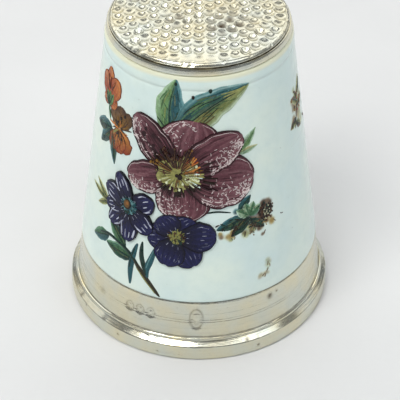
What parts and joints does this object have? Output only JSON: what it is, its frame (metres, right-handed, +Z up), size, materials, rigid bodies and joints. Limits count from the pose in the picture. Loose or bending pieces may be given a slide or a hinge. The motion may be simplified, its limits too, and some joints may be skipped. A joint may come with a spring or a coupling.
{
  "type": "enamelled thimble",
  "caption": "Tapered silver-gilt sewing thimble with a dimpled domed top, a rolled foot rim and a white enamel sleeve painted with a spray of flowers.",
  "frame": {"origin": "centre of the open mouth, on the plane that the thimble stands on", "axes": "+Z up along the thimble's axis towards the dimpled cap, -Y towards the front of the painted spray"},
  "size_m": [0.0194, 0.0194, 0.024],
  "materials": {
    "silver_gilt": "polished silver-gilt, pale gold where the gilding is left and silver where it is rubbed, with turned lines and fine scratches",
    "dimpled_silver_gilt": "polished silver-gilt, punched all over with dimples and a little tarnished in them",
    "white_enamel": "glossy opaque white vitreous enamel",
    "mauve_overglaze": "hand-painted overglaze enamel, glossy, with brush strokes",
    "violet_overglaze": "hand-painted overglaze enamel, glossy, with brush strokes",
    "green_overglaze": "hand-painted overglaze enamel, glossy, with brush strokes",
    "teal_overglaze": "hand-painted overglaze enamel, glossy, with brush strokes",
    "olive_overglaze": "hand-painted overglaze enamel, glossy, with brush strokes",
    "yellow_green_overglaze": "hand-painted overglaze enamel, glossy, with brush strokes",
    "orange_overglaze": "hand-painted overglaze enamel, glossy, with brush strokes",
    "ochre_overglaze": "hand-painted overglaze enamel, glossy, with brush strokes",
    "sepia_overglaze": "hand-painted overglaze enamel, glossy, with brush strokes"
  },
  "bodies": {
    "root": {"side_wall": "silver_gilt", "foot_rim": "silver_gilt", "dimpled_cap": "dimpled_silver_gilt", "enamel_sleeve": "white_enamel", "mauve_flower": "mauve_overglaze", "mauve_flower_heart": "yellow_green_overglaze", "violet_flower_right": "violet_overglaze", "violet_flower_right_eye": "olive_overglaze", "violet_flower_left": "violet_overglaze", "violet_flower_left_eye": "teal_overglaze", "top_leaf_left": "green_overglaze", "top_leaf_right": "green_overglaze", "orange_bud": "orange_overglaze", "ochre_blossom": "ochre_overglaze", "teal_leaves": "teal_overglaze", "olive_sprig": "olive_overglaze", "leafy_stem": "green_overglaze", "violet_stem": "teal_overglaze", "drooping_stem": "teal_overglaze", "small_sprig": "olive_overglaze", "berry_sprig": "sepia_overglaze", "side_spray": "sepia_overglaze"}
  },
  "joints": []
}
